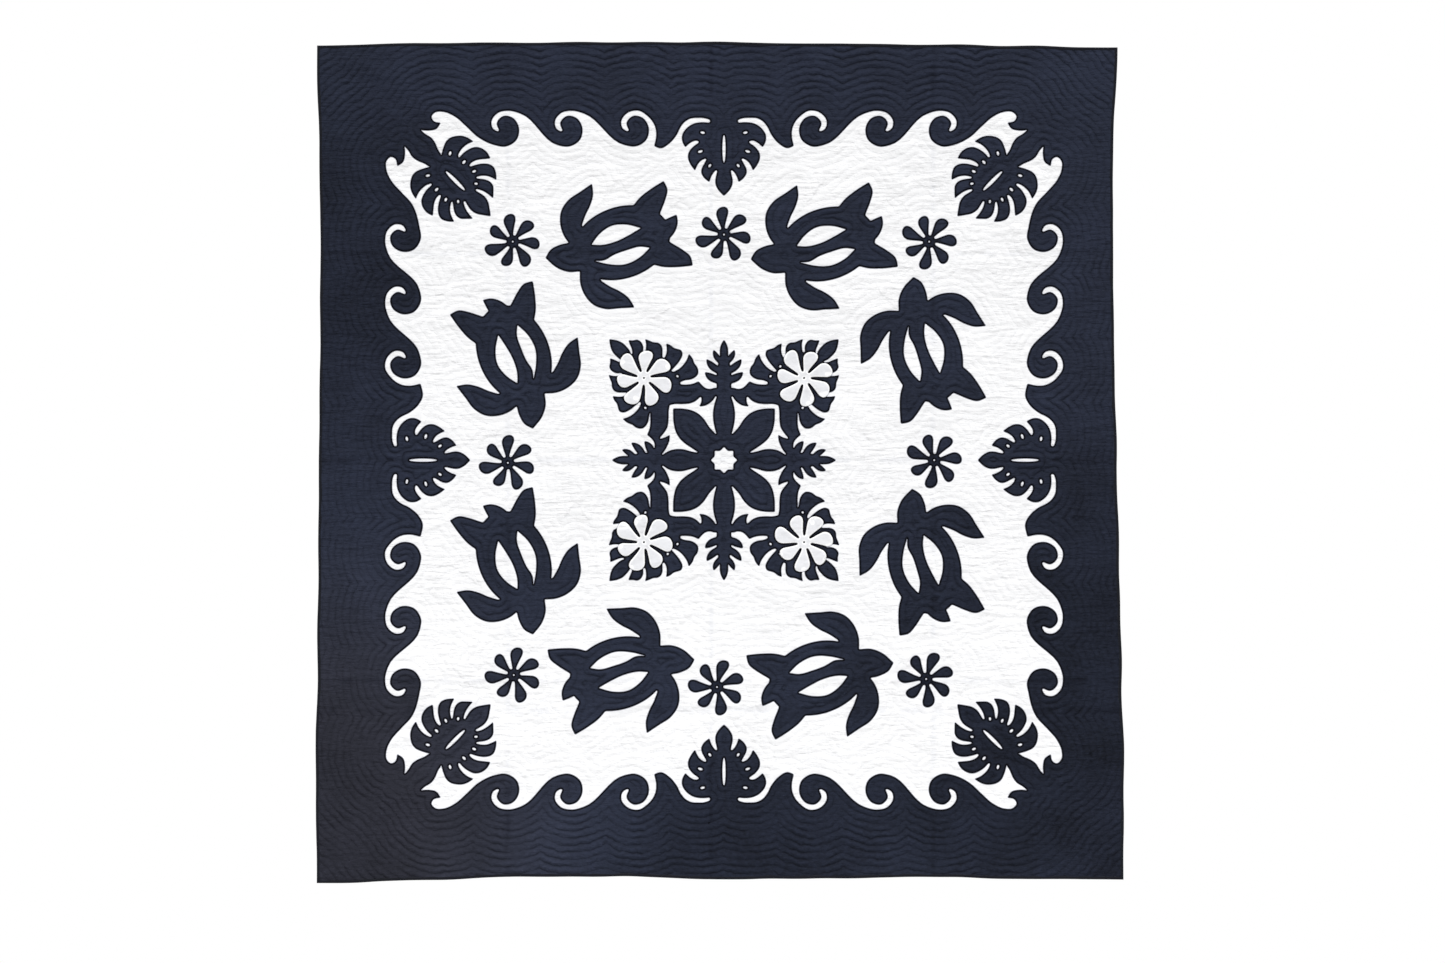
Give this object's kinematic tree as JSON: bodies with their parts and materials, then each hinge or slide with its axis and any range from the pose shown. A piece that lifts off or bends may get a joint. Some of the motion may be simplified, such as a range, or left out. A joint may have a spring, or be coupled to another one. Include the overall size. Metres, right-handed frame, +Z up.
{
  "type": "quilted wall hanging",
  "caption": "Square quilted wall hanging: navy cloth turtles, flowers, split leaves and a wave border sewn on a white ground.",
  "frame": {"origin": "middle of the top edge, on the back of the quilted ground, where the hanging is held", "axes": "+Z up along the wall, +X to the right as seen from the front, and the front faces -Y"},
  "size_m": [2.424, 0.0205, 2.5225],
  "materials": {
    "white_cotton": "matt white quilted cotton",
    "navy_cotton": "matt navy cotton, sewn on by its turned edges",
    "bloom_cotton": "matt off-white cotton",
    "binding_cotton": "matt near-black folded cotton strip"
  },
  "bodies": {
    "root": {"quilt_ground": "white_cotton", "edge_frame": "navy_cotton", "medallion": "navy_cotton", "turtle_1": "navy_cotton", "turtle_2": "navy_cotton", "turtle_3": "navy_cotton", "turtle_4": "navy_cotton", "turtle_5": "navy_cotton", "turtle_6": "navy_cotton", "turtle_7": "navy_cotton", "turtle_8": "navy_cotton", "flower_1": "navy_cotton", "flower_2": "navy_cotton", "flower_3": "navy_cotton", "flower_4": "navy_cotton", "flower_5": "navy_cotton", "flower_6": "navy_cotton", "flower_7": "navy_cotton", "flower_8": "navy_cotton", "bloom_1": "bloom_cotton", "bloom_2": "bloom_cotton", "bloom_3": "bloom_cotton", "bloom_4": "bloom_cotton", "binding_top": "binding_cotton", "binding_bottom": "binding_cotton", "binding_left": "binding_cotton", "binding_right": "binding_cotton"}
  },
  "joints": []
}
